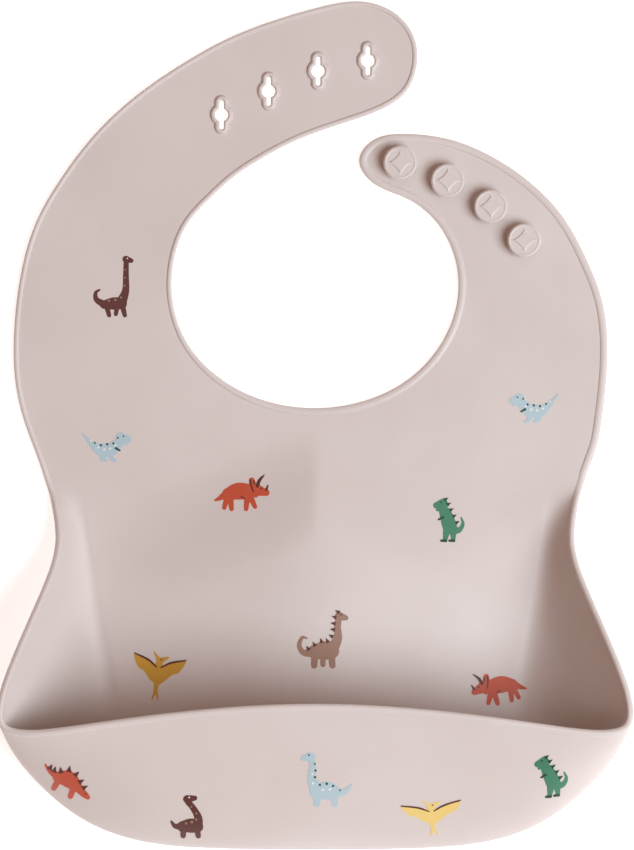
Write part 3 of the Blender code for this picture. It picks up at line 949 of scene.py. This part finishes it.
def spiky_back():
    main = (
        limb((-3.4, 0, 4.2), (0, 0.9, 6.2), (3.4, -0.2, 4.4))
        + limb((-3.8, 0.2, 3.2), (-7.0, 0.7, 1.6), (-9.4, 2.2, 0.6))
        + limb((4.2, -0.6, 3.0), (7.0, -1.6, 2.6), (8.8, -2.2, 1.7))
        + limb((-3.0, -1.8, 2.2), (-3.3, -4.8, 1.9)) + limb((3.0, -1.8, 2.2), (3.2, -4.8, 1.9))
    )
    back = [(-7.4, 1.6), (-5.6, 1.4), (-3.4, 2.2), (-1.0, 3.9), (1.6, 3.5), (4.0, 1.8), (6.0, 0.3)]
    dark = spikes(back, 1.9, 2.0)
    return {"orange_red": main, "dark_brown": dark + dot(7.6, -1.3, 0.33)}


def winged(color, wide, tall):
    """The winged figure in a color, drawn wide and tall times its usual size."""
    def sized(shapes):
        return [[(x * wide, y * tall) for x, y in shape] for shape in shapes]

    wing = ((0, 2.6), (4.0, 4.9), (9.3, 6.4), (7.4, 2.2), (5.0, 0.9), (2.6, -1.6), (0, -3.0))
    main, dark = [], []
    for side in (-1, 1):
        main += patch([(side * x, y) for x, y in wing][::side])
        dark += limb((side * 0.8, 2.9, 0.5), (side * 4.2, 5.0, 0.7), (side * 9.2, 6.5, 0.5))
    main += (
        limb((0, 4.0, 2.6), (0, -1, 2.4), (0, -5.0, 1.2)) + limb((0, -5.0, 1.2), (-0.8, -8.2, 0.5))
        + limb((0.2, -5.0, 1.0), (1.2, -7.8, 0.5))
    )
    main += limb((0, 5.0, 2.4), (2.8, 6.6, 0.7)) + limb((-0.3, 5.4, 1.4), (-2.4, 7.8, 0.4))
    dark += dots((0.5, 5.6, 0.3))
    return {color: sized(main), "dark_brown": sized(dark)}


# name, figure, middle, mirrored, turn in degrees, zone
PRINTS = (
    ("standing_long_neck", standing_long_neck(), (-71.8, 49.3), 1, 0, "long_strap"),
    ("blue_biped_left", blue_biped(), (-74.3, -8.0), 1, 0, "chest"),
    ("blue_biped_right", blue_biped(), (78.2, 5.9), -1, 0, "chest"),
    ("three_horned_left", three_horned(), (-25.7, -24.5), 1, 0, "lower"),
    ("green_biped_panel", green_biped(), (47.8, -34.1), -1, 0, "lower"),
    ("spiny_long_neck", spiny_long_neck(), (2.9, -76.4), 1, 0, "lower"),
    ("winged_mustard", winged("mustard", 1.0, 1.05), (-56, -89.4), 1, -8, "lower"),
    ("three_horned_right", three_horned(), (65, -93.6), -1, 12, "lower"),
    ("spiky_back", spiky_back(), (-86.4, -124.5), 1, -26, "lower"),
    ("leaning_long_neck", leaning_long_neck(), (-43.8, -137.4), 1, 0, "lower"),
    ("speckled_long_neck", speckled_long_neck(), (3.9, -123.5), 1, 0, "lower"),
    ("winged_yellow", winged("yellow", 1.12, 0.82), (41.0, -137.6), 1, 6, "lower"),
    ("green_biped_front", green_biped(), (82.6, -122.6), -1, 8, "lower"),
)


def shape_area(shape):
    return sum(a[0] * b[1] - b[0] * a[1] for a, b in zip(shape, shape[1:] + shape[:1]))


def ink_surface(shapes):
    """The union of the shapes as flat triangles, small enough to lie on a bent sheet."""
    verts, faces = [], []
    for shape in shapes:
        ordered = shape if shape_area(shape) > 0 else shape[::-1]
        faces.append(list(range(len(verts), len(verts) + len(ordered))))
        verts += ordered
    fixed = np.array(verts)
    inner = hex_points(fixed.min(axis=0), fixed.max(axis=0), INK_CELL)
    verts = verts + [tuple(p) for p in far_from(inner, fixed, INK_CELL * INK_CLEAR_OF_EDGE)]
    points, _, made, _, _, covers = delaunay_2d_cdt([Vector(v) for v in verts], [], faces, 0, 1e-4, True)
    return points, [face for face, cover in zip(made, covers) if cover]


def ink(name, color, shapes, place, mirrored, turn, zone, level, ground):
    """A thin inked shell that follows the silicone under it."""
    cosine, sine = math.cos(math.radians(turn)), math.sin(math.radians(turn))
    above = OVER_FRONT if place[1] < FRONT_Y else UNDER_RIM
    set_down = []
    for shape in shapes:
        placed = [(x * mirrored, y) for x, y in shape]
        turned = [(x * cosine - y * sine, x * sine + y * cosine) for x, y in placed]
        set_down.append([(x + place[0], y + place[1]) for x, y in turned])
    points, triangles = ink_surface(set_down)
    used = sorted({i for face in triangles for i in face})
    index = {old: new for new, old in enumerate(used)}
    verts, normals = [], []
    for i in used:
        x, y = points[i]
        hit, normal, _, _ = ground.ray_cast(Vector((x, y, above)), Vector((0, 0, -1)))
        if hit is None:  # a point right on a seam between two skins
            hit, normal, _, _ = ground.find_nearest(Vector((x, y, RIDGE_HEIGHT)))
        verts.append(hit)
        normals.append(normal if normal.z > 0 else -normal)
    faces = []
    for a, b, c in triangles:
        turns = (points[b] - points[a]).cross(points[c] - points[a]) > 0
        faces.append((index[a], index[b], index[c]) if turns else (index[a], index[c], index[b]))
    solid = thicken(verts, faces, normals, INK_ROOT, INK_TOP + INK_STEP * level)
    return carry(soften(new_object(name, *solid, INKS[color], "sheet"), INK_SHARP), zone)


def ground_of(objects):
    """A search tree over the rest shape of the skins, in millimetres."""
    verts, faces = [], []
    for obj in objects:
        first = len(verts)
        verts += [v.co / MM for v in obj.data.vertices]
        faces += [[first + i for i in p.vertices] for p in obj.data.polygons]
    return BVHTree.FromPolygons(verts, faces)


# ---------------------------------------------------------------------- stage


def area_light(name, place, size, power, color):
    """A round soft light that faces the origin."""
    data = bpy.data.lights.new(name, "AREA")
    data.shape = "DISK"
    data.size = size
    data.energy = power
    data.color = color
    obj = bpy.data.objects.new(name, data)
    bpy.context.scene.collection.objects.link(obj)
    obj.location = place
    obj.rotation_euler = (-Vector(place)).to_track_quat("-Z", "Y").to_euler()


def floor():
    mesh = bpy.data.meshes.new("floor")
    corners = [(x * FLOOR_HALF, y * FLOOR_HALF, FLOOR_DROP) for x, y in ((-1, -1), (1, -1), (1, 1), (-1, 1))]
    mesh.from_pydata(corners, [], [(0, 1, 2, 3)])
    obj = bpy.data.objects.new("floor", mesh)
    bpy.context.scene.collection.objects.link(obj)
    look = bpy.data.materials.new("floor_paper")
    look.use_nodes = True
    shader = look.node_tree.nodes["Principled BSDF"]
    shader.inputs["Base Color"].default_value = (0.95, 0.95, 0.95, 1)
    shader.inputs["Roughness"].default_value = 0.9
    shader.inputs["Specular IOR Level"].default_value = 0.1
    shader.inputs["Emission Color"].default_value = (1, 1, 1, 1)
    shader.inputs["Emission Strength"].default_value = FLOOR_GLOW
    mesh.materials.append(look)


def stage():
    floor()
    world = bpy.data.worlds.new("studio")
    bpy.context.scene.world = world
    world.use_nodes = True
    sky = world.node_tree.nodes["Background"]
    sky.inputs["Color"].default_value = SKY_COLOR
    sky.inputs["Strength"].default_value = SKY_STRENGTH
    for light in LIGHTS:
        area_light(*light)

    data = bpy.data.cameras.new("camera")
    data.sensor_width = CAMERA_SENSOR
    data.lens = CAMERA_LENS
    camera = bpy.data.objects.new("camera", data)
    bpy.context.scene.collection.objects.link(camera)
    camera.location = CAMERA_PLACE
    bpy.context.scene.camera = camera
    bpy.context.scene.view_settings.view_transform = "Standard"


def main():
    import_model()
    net = station_net()
    lower = lower_skin(net)
    skins = flat_skins()
    ground = ground_of([lower, *skins.values()])
    carry(lower, "lower")
    carry(pocket_bead(net), "lower")
    for zone, skin in skins.items():
        carry(skin, zone)
    for bead, zone in flat_beads():
        carry(bead, zone)
    for i, place in enumerate(BUTTONHOLES, 1):
        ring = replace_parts(buttonhole_ring(f"ring_{i}", place), f"buttonhole_ring_{i}")
        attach(ring, "long_strap_tip")
    for i, place in enumerate(STUDS, 1):
        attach(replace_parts(stud(f"snap_{i}", place), f"stud_{i}"), "short_strap")
    for name, figure, place, mirrored, turn, zone in PRINTS:
        for level, (color, shapes) in enumerate(figure.items()):
            ink(f"print_{name}_{color}", color, shapes, place, mirrored, turn, zone, level, ground)
    stage()
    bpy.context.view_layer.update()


main()
